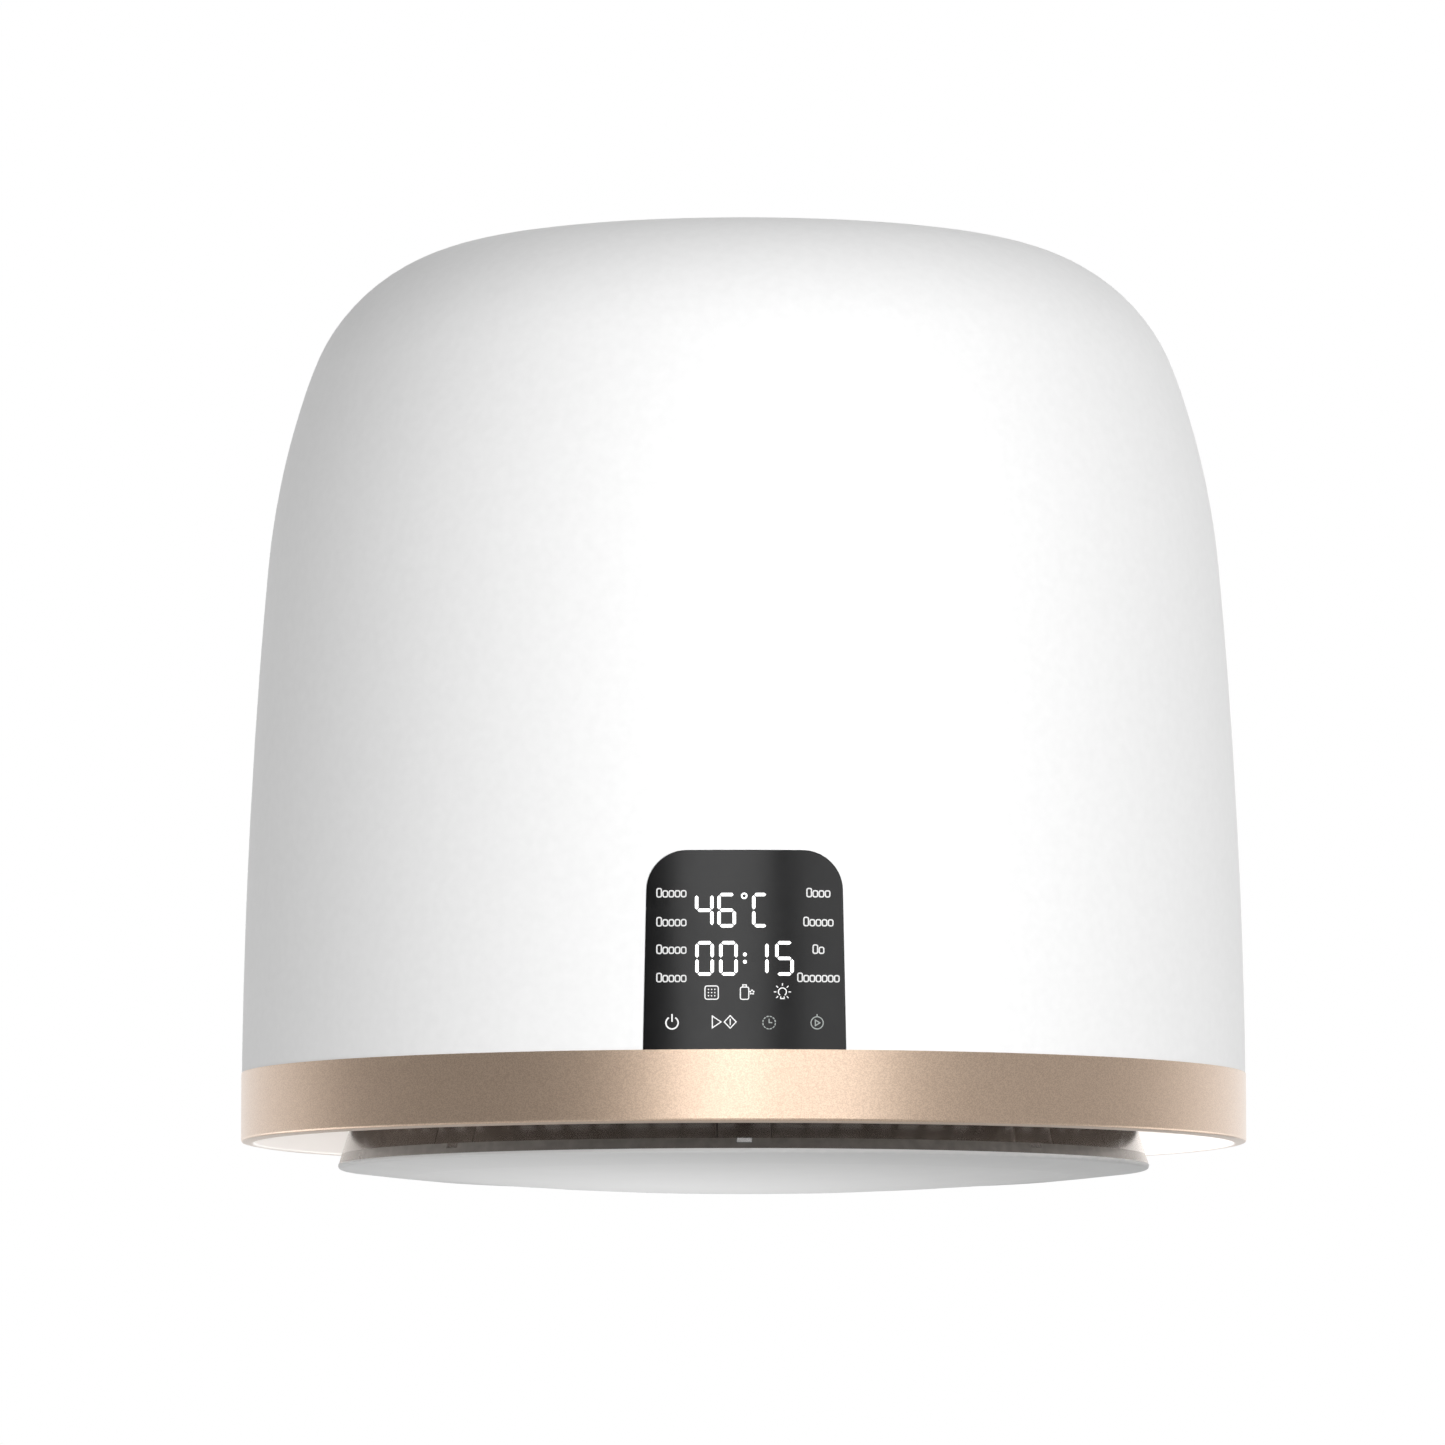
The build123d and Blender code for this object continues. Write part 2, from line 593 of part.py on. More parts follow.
with BuildPart() as hanging_bail:
    with BuildLine() as bail_path:
        FilletPolyline(
            (-BAIL_ARM_X, 0),
            (-BAIL_ARM_X, BAIL_REACH),
            (BAIL_ARM_X, BAIL_REACH),
            (BAIL_ARM_X, 0),
            radius=BAIL_BEND,
        )
    with BuildSketch(Plane.XZ.shift_origin((-BAIL_ARM_X, 0, 0))):
        Circle(BAIL_ROD_R)
    sweep(path=bail_path.wires()[0])
    for side in (-1, 1):
        with BuildSketch(Plane.YZ.offset(side * BAIL_ARM_X)):
            Circle(7.5)
        extrude(amount=5, both=True)
    with BuildSketch(Plane.YZ.offset(-80)):
        Circle(PIVOT_PIN_R + PIVOT_GAP)
    extrude(amount=160, mode=Mode.SUBTRACT)

with BuildPart() as bail_grip:
    with BuildSketch(Plane.YZ.offset(-32)):
        with Locations((BAIL_REACH, 0)):
            Circle(7)
            Circle(BAIL_ROD_R + 0.02, mode=Mode.SUBTRACT)
    extrude(amount=64)
    fillet(bail_grip.edges().filter_by(GeomType.CIRCLE).filter_by(lambda e: e.radius > 6), 1.6)

EAR_X = CUP_W / 2 + CUP_T + 0.3
PIN_INNER_X, PIN_HEAD_X, PIN_HEAD_T, PIN_HEAD_R = 47.5, EAR_X + STEEL_T, 2.0, 4.5
with BuildPart() as bail_pins:
    for side in (-1, 1):
        for start, stop, radius in (
            (PIN_INNER_X, PIN_HEAD_X, PIVOT_PIN_R),
            (PIN_HEAD_X, PIN_HEAD_X + PIN_HEAD_T, PIN_HEAD_R),
        ):
            with BuildSketch(Plane.YZ.offset(side * start)):
                Circle(radius)
            extrude(amount=side * (stop - start))

with BuildPart() as load_bracket:
    with BuildSketch(Plane.XY.offset(PLATE_Z - STEEL_T)):
        Rectangle(2 * (EAR_X + STEEL_T), 28)
        with Locations((-ROD_X, 0), (ROD_X, 0)):
            Circle(ROD_R + 0.1, mode=Mode.SUBTRACT)
    extrude(amount=STEEL_T)
    for side in (-1, 1):
        with BuildSketch(Plane.YZ.offset(side * EAR_X)):
            with Locations((0, -6)):
                Rectangle(20, 2 * (-PLATE_Z - 6))
            Circle(PIVOT_PIN_R + 0.02, mode=Mode.SUBTRACT)
        extrude(amount=side * STEEL_T)

with BuildPart() as suspension_rods:
    with BuildSketch(Plane.XY.offset(up(115))):
        with Locations((-ROD_X, 0), (ROD_X, 0)):
            Circle(ROD_R)
    extrude(amount=PLATE_Z + 4 - up(115))

with BuildPart() as rod_nuts:
    for foot in (up(FAN_TOP) - 3, up(FAN_TOP) + BRACKET_T, PLATE_Z - STEEL_T - 3, PLATE_Z):
        with BuildSketch(Plane.XY.offset(foot)):
            with Locations((-ROD_X, 0), (ROD_X, 0)):
                RegularPolygon(5.5, 6)
                Circle(ROD_R + 0.02, mode=Mode.SUBTRACT)
        extrude(amount=3)

# ---- Air intake at the rear ----------------------------------------------------------------------
with BuildPart() as intake_frame:
    extrude(intake_face(COVER_GAP + SLEEVE_T), amount=155 - SLEEVE_Y)
    extrude(intake_face(COVER_GAP + 0.1), amount=155 - SLEEVE_Y - GUARD_T, mode=Mode.SUBTRACT)
    with BuildSketch(Plane.XZ.offset(-SLEEVE_Y)):
        with Locations(*EAR_PLACES):
            RectangleRounded(16, 12, 2)
    extrude(amount=-3)
    extrude(intake_face(COVER_GAP + 0.1), amount=155 - SLEEVE_Y - GUARD_T, mode=Mode.SUBTRACT)
    revolve(dome_face(WALL), axis=Axis.Z, mode=Mode.INTERSECT)
    with BuildSketch(Plane.XZ.offset(-SLEEVE_Y + 1)):
        with Locations((0, up(INTAKE_H))):
            with GridLocations(5.4, 35, 19, 2):
                SlotOverall(30, 3.4, rotation=90)
    extrude(amount=-4, mode=Mode.SUBTRACT)
    add(discs_on(Plane.XZ.offset(-SLEEVE_Y + 1), EAR_PLACES, 1.65, -6), mode=Mode.SUBTRACT)

with BuildPart() as cover_hollow:
    extrude(intake_face(-COVER_RIM), amount=155 - COVER_Y + 1)
    revolve(dome_face(COVER_FACE), axis=Axis.Z, mode=Mode.INTERSECT)

with BuildPart() as filter_cover:
    extrude(intake_face(), amount=155 - COVER_Y)
    revolve(dome_face(), axis=Axis.Z, mode=Mode.INTERSECT)
    add(cover_hollow.part, mode=Mode.SUBTRACT)
    with BuildSketch(REAR):
        with Locations((0, up(INTAKE_H + 4))):
            with GridLocations(0, 7.0, 1, 8):
                SlotOverall(92, 3)
    extrude(amount=50, mode=Mode.SUBTRACT)
    # Thumb ridges under the louvres
    with BuildSketch(REAR, mode=Mode.PRIVATE) as ridges:
        with Locations((0, up(INTAKE_H - 32.5))):
            with GridLocations(0, 2.6, 1, 3):
                SlotOverall(26, 1.2)
    add(pocket(ridges.sketch, 50, 0.8), mode=Mode.SUBTRACT)

with BuildPart() as filter_frame:
    extrude(intake_face(-COVER_RIM - 0.2, Plane.XZ.offset(-COVER_Y - 0.5)), amount=-3)
    extrude(intake_face(-COVER_RIM - 5, Plane.XZ.offset(-COVER_Y)), amount=-6, mode=Mode.SUBTRACT)
    with BuildSketch(Plane.XZ.offset(-COVER_Y - 2.2)):
        with Locations((0, up(INTAKE_H))):
            Rectangle(104, 5)
            Rectangle(5, 68)
    extrude(amount=-1.3)

with BuildPart() as filter_mesh:
    extrude(intake_face(-COVER_RIM - 5.0, Plane.XZ.offset(-COVER_Y - 1.2)), amount=-1)

SCENT_Y = COVER_Y + 3.5
with BuildPart() as scent_holder:
    with BuildSketch(Plane.XZ.offset(-SCENT_Y)):
        with Locations((0, up(INTAKE_H))):
            RectangleRounded(40, 26, 3)
    extrude(amount=-7)
    with BuildSketch(Plane.XZ.offset(-SCENT_Y - 1.2)):
        with Locations((0, up(INTAKE_H))):
            RectangleRounded(37.6, 23.6, 1.8)
    extrude(amount=-7, mode=Mode.SUBTRACT)

with BuildPart() as scent_pad:
    with BuildSketch(Plane.XZ.offset(-SCENT_Y - 1.2)):
        with Locations((0, up(INTAKE_H))):
            RectangleRounded(37, 23, 1.6)
    extrude(amount=-4.5)

# ---- Display at the front ------------------------------------------------------------------------
with BuildPart() as display_lens:
    add(skin_patch(panel_face(), -60, LENS_T))

with BuildPart() as display_board:
    with BuildSketch(Plane.XZ.offset(-BOARD_Y)):
        with Locations((0, up(30.5))):
            RectangleRounded(64, 53, 2)
    extrude(amount=-BOARD_T)

with BuildPart() as display_carrier:
    with BuildSketch(Plane.XZ.offset(-BOARD_Y - BOARD_T)):
        with Locations((0, up(32))):
            RectangleRounded(86, 52, 3)
            RectangleRounded(54, 41, 3, mode=Mode.SUBTRACT)
        with Locations(*CARRIER_PLACES):
            Circle(1.35, mode=Mode.SUBTRACT)
    extrude(amount=-CARRIER_T)

with BuildPart() as digit_modules:
    with BuildSketch(Plane.XZ.offset(-BOARD_Y)):
        with Locations((0, up(39.8)), (0, up(26))):
            Rectangle(34, 12)
    extrude(amount=5)

with BuildPart() as icon_mask:
    with BuildSketch(Plane.XZ.offset(-BOARD_Y)):
        with Locations((0, up(29.8))):
            RectangleRounded(53, 52, 4)
        with Locations((0, up(32.9))):
            Rectangle(34.6, 26.6, mode=Mode.SUBTRACT)
        with Locations(*[(x, up(KEY_H)) for x in KEY_X]):
            Circle(3.4, mode=Mode.SUBTRACT)
        with Locations(*[(x, up(z)) for x in (-LABEL_X - 0.6, LABEL_X + 0.6) for z in LABEL_H]):
            Rectangle(7, 2.6, mode=Mode.SUBTRACT)
        with Locations(*[(x, up(ICON_H)) for x in ICON_X]):
            Rectangle(4, 4, mode=Mode.SUBTRACT)
    extrude(amount=4.9)

with BuildPart() as icon_leds:
    with BuildSketch(Plane.XZ.offset(-BOARD_Y)):
        with Locations(*[(x, up(z)) for x in (-LABEL_X - 0.6, LABEL_X + 0.6) for z in LABEL_H]):
            Rectangle(1.6, 0.8)
        with Locations(*[(x, up(ICON_H)) for x in ICON_X]):
            Rectangle(1.6, 0.8)
    extrude(amount=0.7)

with BuildPart() as touch_pads:
    add(discs_on(Plane.XZ.offset(-BOARD_Y), [(x, up(KEY_H)) for x in KEY_X], 3.0, 7.6))

# ---- Power electronics and mains inlet -----------------------------------------------------------
POWER_Y = -106.0
with BuildPart() as power_board:
    with BuildSketch(Plane.XZ.offset(-POWER_Y)):
        with Locations((0, up(70))):
            Rectangle(100, 66)
    extrude(amount=1.6)

with BuildPart() as power_components:
    for x, z, width, height, depth in (
        (-30, 78, 28, 26, 17),
        (-4, 86, 18, 15, 15),
        (22, 88, 22, 10, 12),
        (24, 70, 16, 14, 14),
        (-34, 52, 20, 10, 11),
        (6, 50, 34, 8, 9),
    ):
        with BuildSketch(Plane.XZ.offset(-POWER_Y + 1.6)):
            with Locations((x, up(z))):
                RectangleRounded(width, height, 1.5)
        extrude(amount=depth)
    with BuildSketch(Plane.XZ.offset(-POWER_Y + 1.6)):
        with Locations((-2, up(68)), (40, up(90)), (40, up(54))):
            Circle(5)
    extrude(amount=16)

with BuildPart() as board_bracket:
    with BuildSketch(Plane.XZ.offset(-POWER_Y)):
        with Locations((0, up(72))):
            Rectangle(92, 56)
    extrude(amount=-1.5)
    with BuildSketch(Plane.XZ.offset(-POWER_Y - 1.5)):
        with Locations((-22, up(85)), (22, up(85))):
            Rectangle(5, 28)
    extrude(amount=-18)
    with BuildSketch(Plane.XY.offset(up(60))):
        Circle(FAN_R + SHROUD_T + 0.05)
    extrude(amount=60, mode=Mode.SUBTRACT)

BLADE_PLACES = [(-7, up(INLET_H - 2)), (7, up(INLET_H - 2)), (0, up(INLET_H + 2))]
with BuildPart() as mains_inlet:
    with BuildSketch(Plane.XZ.offset(-INLET_FACE_Y)):
        with Locations((0, up(INLET_H))):
            RectangleRounded(31, 24, 3)
    extrude(amount=INLET_FACE_Y - INLET_SEAT_Y)
    with BuildSketch(Plane.XZ.offset(-INLET_SEAT_Y)):
        with Locations((0, up(INLET_H))):
            Rectangle(27, 20)
    extrude(amount=22)
    with BuildSketch(Plane.XZ.offset(-INLET_FACE_Y)) as inlet_mouth:
        with Locations((0, up(INLET_H))):
            Rectangle(24.4, 16.6)
        chamfer(inlet_mouth.vertices().group_by(Axis.Y)[-1], 5)
    extrude(amount=18, mode=Mode.SUBTRACT)
    with BuildSketch(Plane.XZ.offset(-INLET_SEAT_Y)):
        with Locations(*BLADE_PLACES):
            Rectangle(2, 4)
    extrude(amount=30, mode=Mode.SUBTRACT)

with BuildPart() as inlet_blades:
    with BuildSketch(Plane.XZ.offset(-144)):
        with Locations(*BLADE_PLACES):
            Rectangle(2, 4)
    extrude(amount=32)

# ---- Fasteners -----------------------------------------------------------------------------------
ABOVE, BELOW = Plane.XY, Plane(origin=(0, 0, 0), x_dir=(1, 0, 0), z_dir=(0, 0, -1))


def mirrored(places):
    """The same places, for a plane that faces down."""
    return [(x, -y) for x, y in places]


rim_screws = screws(ABOVE.offset(up(-RIM_FLANGE_T)), RIM_PLACES, 3.0, 2.0, 1.5, 15)
grille_screws = screws(ABOVE.offset(up(-8)), GRILLE_PLACES, 2.6, 1.8, 1.5, 10)
core_screws = screws(ABOVE.offset(up(-9)), CORE_PLACES, 2.8, 1.8, 1.5, 11)
disc_screws = screws(BELOW.offset(-up(DISC_H + 2)), mirrored(DISC_PLACES), 2.8, 1.6, 1.5, 4)
stack_bolts = screws(BELOW.offset(-up(FAN_FOOT + 3)), mirrored(STACK_PLACES), 3.5, 2.5, 2.0, 28)
BRACKET_TOP = FAN_TOP + BRACKET_T
bracket_screws = screws(BELOW.offset(-up(BRACKET_TOP)), mirrored(BRACKET_PLACES), 3.0, 2.0, 1.5, 5.5)
intake_screws = screws(Plane.ZX.offset(SLEEVE_Y), [(z, x) for x, z in EAR_PLACES], 3.0, 2.0, 1.5, 15)
CARRIER_BACK = -BOARD_Y - BOARD_T - CARRIER_T
carrier_screws = screws(Plane.XZ.offset(CARRIER_BACK), CARRIER_PLACES, 2.4, 1.6, 1.2, 6)

pieces = {
    "housing": housing,
    "trim_band": trim_band,
    "lower_duct": lower_duct,
    "outlet_grille": outlet_grille,
    "flow_core": flow_core,
    "outlet_cone": outlet_cone,
    "cone_base_ring": cone_base_ring,
    "bottom_disc": bottom_disc,
    "uv_board": uv_board,
    "uv_leds": uv_leds,
    "heater_frame": heater_frame,
    "heater_bars": heater_bars,
    "heater_fins": heater_fins,
    "thermal_cutout": thermal_cutout,
    "air_sensor": air_sensor,
    "fan_isolators": fan_isolators,
    "fan_shroud": fan_shroud,
    "motor_bracket": motor_bracket,
    "motor_can": motor_can,
    "motor_bearings": motor_bearings,
    "motor_stator": motor_stator,
    "stator_coils": stator_coils,
    "motor_rotor": motor_rotor,
    "motor_shaft": motor_shaft,
    "impeller": impeller,
    "impeller_nut": impeller_nut,
    "bail_cup": bail_cup,
    "hanging_bail": hanging_bail,
    "bail_grip": bail_grip,
    "bail_pins": bail_pins,
    "load_bracket": load_bracket,
    "suspension_rods": suspension_rods,
    "rod_nuts": rod_nuts,
    "intake_frame": intake_frame,
    "filter_cover": filter_cover,
    "filter_frame": filter_frame,
    "filter_mesh": filter_mesh,
    "scent_holder": scent_holder,
    "scent_pad": scent_pad,
    "display_lens": display_lens,
    "display_board": display_board,
    "display_carrier": display_carrier,
    "digit_modules": digit_modules,
    "icon_mask": icon_mask,
    "icon_leds": icon_leds,
    "touch_pads": touch_pads,
    "power_board": power_board,
    "power_components": power_components,
    "board_bracket": board_bracket,
    "mains_inlet": mains_inlet,
    "inlet_blades": inlet_blades,
    "rim_screws": rim_screws,
    "grille_screws": grille_screws,
    "core_screws": core_screws,
    "disc_screws": disc_screws,
    "stack_bolts": stack_bolts,
    "bracket_screws": bracket_screws,
    "intake_screws": intake_screws,
    "carrier_screws": carrier_screws,
}
for name, piece in pieces.items():
    piece.part.label = name
    export_step(piece.part, f"parts/{name}.step")
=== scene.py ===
from math import cos, pi, radians, sin

import bmesh
import bpy
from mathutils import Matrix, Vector
from mathutils.bvhtree import BVHTree


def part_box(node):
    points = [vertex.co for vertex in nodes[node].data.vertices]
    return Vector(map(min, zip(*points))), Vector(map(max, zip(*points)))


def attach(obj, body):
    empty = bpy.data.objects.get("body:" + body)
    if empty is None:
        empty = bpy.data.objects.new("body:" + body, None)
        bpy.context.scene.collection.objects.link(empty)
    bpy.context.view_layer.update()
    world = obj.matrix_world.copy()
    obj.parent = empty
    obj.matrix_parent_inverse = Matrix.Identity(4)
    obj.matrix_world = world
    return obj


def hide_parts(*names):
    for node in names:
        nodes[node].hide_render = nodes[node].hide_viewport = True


# Looks, light and camera for the hanging boot dryer. The CAD nodes carry the shapes; this script gives
# each its material, adds the lit display, the woven filter screen and the ridged grip, and lights the scene.
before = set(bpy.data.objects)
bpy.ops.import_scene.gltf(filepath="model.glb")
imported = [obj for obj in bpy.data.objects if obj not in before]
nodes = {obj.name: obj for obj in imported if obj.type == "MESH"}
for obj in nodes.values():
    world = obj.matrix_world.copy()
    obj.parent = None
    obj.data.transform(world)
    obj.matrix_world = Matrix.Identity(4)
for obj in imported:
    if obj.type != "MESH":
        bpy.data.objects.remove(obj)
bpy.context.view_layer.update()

MM = 0.001
RIM_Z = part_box("trim_band")[1].z  # where the housing meets the band


# ---- Materials -----------------------------------------------------------------------------------
def linear(red, green, blue):
    """A linear colour from 0-255 display values."""
    scaled = [value / 255 for value in (red, green, blue)]
    return (*[v / 12.92 if v <= 0.04045 else ((v + 0.055) / 1.055) ** 2.4 for v in scaled], 1.0)


class Look:
    """A node material around one Principled shader, on object coordinates in metres."""

    def __init__(self, name, **sockets):
        self.material = bpy.data.materials.new(name)
        self.material.use_nodes = True
        self.tree = self.material.node_tree
        self.shader = self.tree.nodes["Principled BSDF"]
        self.place = self.add("ShaderNodeTexCoord").outputs["Object"]
        for socket, value in sockets.items():
            self.shader.inputs[socket.replace("_", " ")].default_value = value

    def add(self, kind, **settings):
        node = self.tree.nodes.new(kind)
        for key, value in settings.items():
            if key in node.inputs:
                node.inputs[key].default_value = value
            else:
                setattr(node, key, value)
        return node

    def link(self, output, target):
        self.tree.links.new(output, target)

    def noise(self, scale, detail=3.0, stretch=None):
        """Noise with about scale features to the metre, drawn out along the axes by stretch."""
        node = self.add("ShaderNodeTexNoise", Scale=scale, Detail=detail)
        source = self.place
        if stretch:
            mapping = self.add("ShaderNodeMapping", Scale=stretch)
            self.link(source, mapping.inputs["Vector"])
            source = mapping.outputs["Vector"]
        self.link(source, node.inputs["Vector"])
        return node.outputs["Fac"]

    def spread(self, value, low, high, start=0.3, stop=0.7):
        """A value from start to stop, mapped from low to high."""
        node = self.add("ShaderNodeMapRange")
        for socket, number in zip(node.inputs[1:5], (start, stop, low, high)):
            socket.default_value = number
        self.link(value, node.inputs["Value"])
        return node.outputs["Result"]

    def tint(self, value, dark, light):
        """The base colour, from dark to light as a value goes from 0.3 to 0.7."""
        ramp = self.add("ShaderNodeValToRGB")
        for stop, place, colour in zip(ramp.color_ramp.elements, (0.3, 0.7), (dark, light)):
            stop.position = place
            stop.color = colour
        self.link(value, ramp.inputs["Fac"])
        self.link(ramp.outputs["Color"], self.shader.inputs["Base Color"])
        return ramp.outputs["Color"]

    def rough(self, value, low, high):
        self.link(self.spread(value, low, high), self.shader.inputs["Roughness"])

    def bump(self, value, depth, strength=1.0):
        """Relief of a depth in metres."""
        node = self.add("ShaderNodeBump", Strength=strength, Distance=depth)
        self.link(value, node.inputs["Height"])
        self.link(node.outputs["Normal"], self.shader.inputs["Normal"])


def moulded(name, dark, light, roughness, grain, depth, **sockets):
    """Moulded plastic or rubber: faint mottling, uneven gloss and about grain features to the metre."""
    look = Look(name, **sockets)
    look.tint(look.noise(350.0), dark, light)
    look.rough(look.noise(90.0), *roughness)
    look.bump(look.noise(grain, detail=2.0), depth)
    return look.material


def metal(name, dark, light, roughness, stretch, depth=0.00002):
    """Worked metal whose grain is drawn out along the axes by stretch."""
    look = Look(name, Metallic=1.0)
    grain = look.noise(700.0, detail=4.0, stretch=stretch)
    look.tint(grain, dark, light)
    look.rough(grain, *roughness)
    look.bump(grain, depth)
    return look.material


def grained_band():
    """Champagne metallic finish with a fine sparkling grain; the inner wall is painted pale and
    non-metallic, painted light for the bounce on it.
    """
    look = Look("champagne_band", Coat_Weight=1.0, Coat_Roughness=0.3, Coat_IOR=1.5)
    flakes = look.add("ShaderNodeTexVoronoi", Scale=4200.0)
    look.link(look.place, flakes.inputs["Vector"])
    shade = look.add("ShaderNodeSeparateColor")
    look.link(flakes.outputs["Color"], shade.inputs["Color"])
    metallic = look.tint(shade.outputs["Red"], linear(214, 186, 162), linear(232, 206, 182))
    look.rough(shade.outputs["Green"], 0.36, 0.46)
    look.bump(look.noise(3600.0, detail=1.0), 0.00001, 0.6)
    flat = look.add("ShaderNodeMapping", Scale=(1.0, 1.0, 0.0))
    look.link(look.place, flat.inputs["Vector"])
    radius = look.add("ShaderNodeVectorMath", operation="LENGTH")
    look.link(flat.outputs["Vector"], radius.inputs[0])
    outer = look.spread(radius.outputs["Value"], 0.0, 1.0, BAND_INNER_R, BAND_OUTER_R)
    look.link(look.spread(outer, 0.05, 0.92, 0.0, 1.0), look.shader.inputs["Metallic"])
    # Painted light: the near-white colour of the inner wall stands in for light bounced onto it.
    mix = look.add("ShaderNodeMix", data_type="RGBA")
    mix.inputs[6].default_value = linear(240, 234, 229)
    look.link(outer, mix.inputs[0])
    look.link(metallic, mix.inputs[7])
    look.link(mix.outputs[2], look.shader.inputs["Base Color"])
    return look.material


def dished_disc():
    """White moulded disc with painted shade, duller towards its edge."""
    look = Look("white_disc", Specular_IOR_Level=0.3)
    reach = look.add("ShaderNodeVectorMath", operation="LENGTH")
    middle = look.add("ShaderNodeMapping", Location=(0.02, 0.0, -RIM_Z))
    look.link(look.place, middle.inputs["Vector"])
    look.link(middle.outputs["Vector"], reach.inputs[0])
    # Painted shade: the base colour darkens away from a spot near the middle, as the light falls off there.
    painted_falloff = look.spread(reach.outputs["Value"], 0.7, 0.3, SHADE_START_R, SHADE_FULL_R)
    look.tint(painted_falloff, linear(200, 200, 200), linear(240, 240, 240))
    look.rough(look.noise(90.0), 0.42, 0.5)
    look.bump(look.noise(900.0, detail=2.0), 0.000012)
    return look.material


def smoked_cone():
    """Smoked brown acrylic, a little cloudy, under a polished skin."""
    skin = {"Coat_Weight": 1.0, "Coat_Roughness": 0.2, "Coat_IOR": 1.6}
    look = Look("smoked_cone", Transmission_Weight=0.35, IOR=1.49, **skin)
    look.tint(look.noise(60.0), linear(68, 59, 53), linear(76, 67, 60))
    look.rough(look.noise(140.0), 0.12, 0.17)
    look.bump(look.noise(500.0, detail=1.0), 0.00001)
    return look.material


def glowing(name, colour, strength):
    """Lit display marks with a slightly uneven glow."""
    look = Look(name, Roughness=0.35)
    shade = look.tint(look.noise(400.0, detail=1.0), tuple(0.93 * v for v in colour[:3]) + (1.0,), colour)
    look.link(shade, look.shader.inputs["Emission Color"])
    look.shader.inputs["Emission Strength"].default_value = strength
    return look.material


def circuit_board():
    """Green solder mask with paler copper traces under it."""
    look = Look("circuit_board", Coat_Weight=0.3, Coat_Roughness=0.15)
    traces = look.add("ShaderNodeTexBrick", Scale=220.0, Color1=(0, 0, 0, 1), Color2=(0.35, 0.35, 0.35, 1))
    look.link(look.place, traces.inputs["Vector"])
    value = look.add("ShaderNodeSeparateColor")
    look.link(traces.outputs["Color"], value.inputs["Color"])
    look.tint(value.outputs["Red"], linear(16, 70, 42), linear(44, 118, 72))
    look.rough(look.noise(300.0), 0.3, 0.45)
    look.bump(value.outputs["Red"], 0.00003, 0.5)
    return look.material


def wound_copper():
    """Enamelled copper wire, wound round the axis."""
    look = Look("wound_copper", Metallic=0.8, Coat_Weight=0.4, Coat_Roughness=0.2)
    turns = look.add("ShaderNodeTexWave", Scale=320.0, wave_type="RINGS", rings_direction="Z")
    look.link(look.place, turns.inputs["Vector"])
    look.tint(turns.outputs["Fac"], linear(120, 58, 26), linear(201, 122, 66))
    look.rough(look.noise(200.0), 0.28, 0.4)
    look.bump(turns.outputs["Fac"], 0.0002)
    return look.material


def felt():
    """Pressed lavender felt."""
    look = Look("scent_felt", Sheen_Weight=0.4, Roughness=0.95)
    fibres = look.noise(1500.0, detail=6.0, stretch=(1.0, 1.0, 0.3))
    look.tint(fibres, linear(178, 160, 190), linear(215, 200, 224))
    look.bump(fibres, 0.0004)
    return look.material


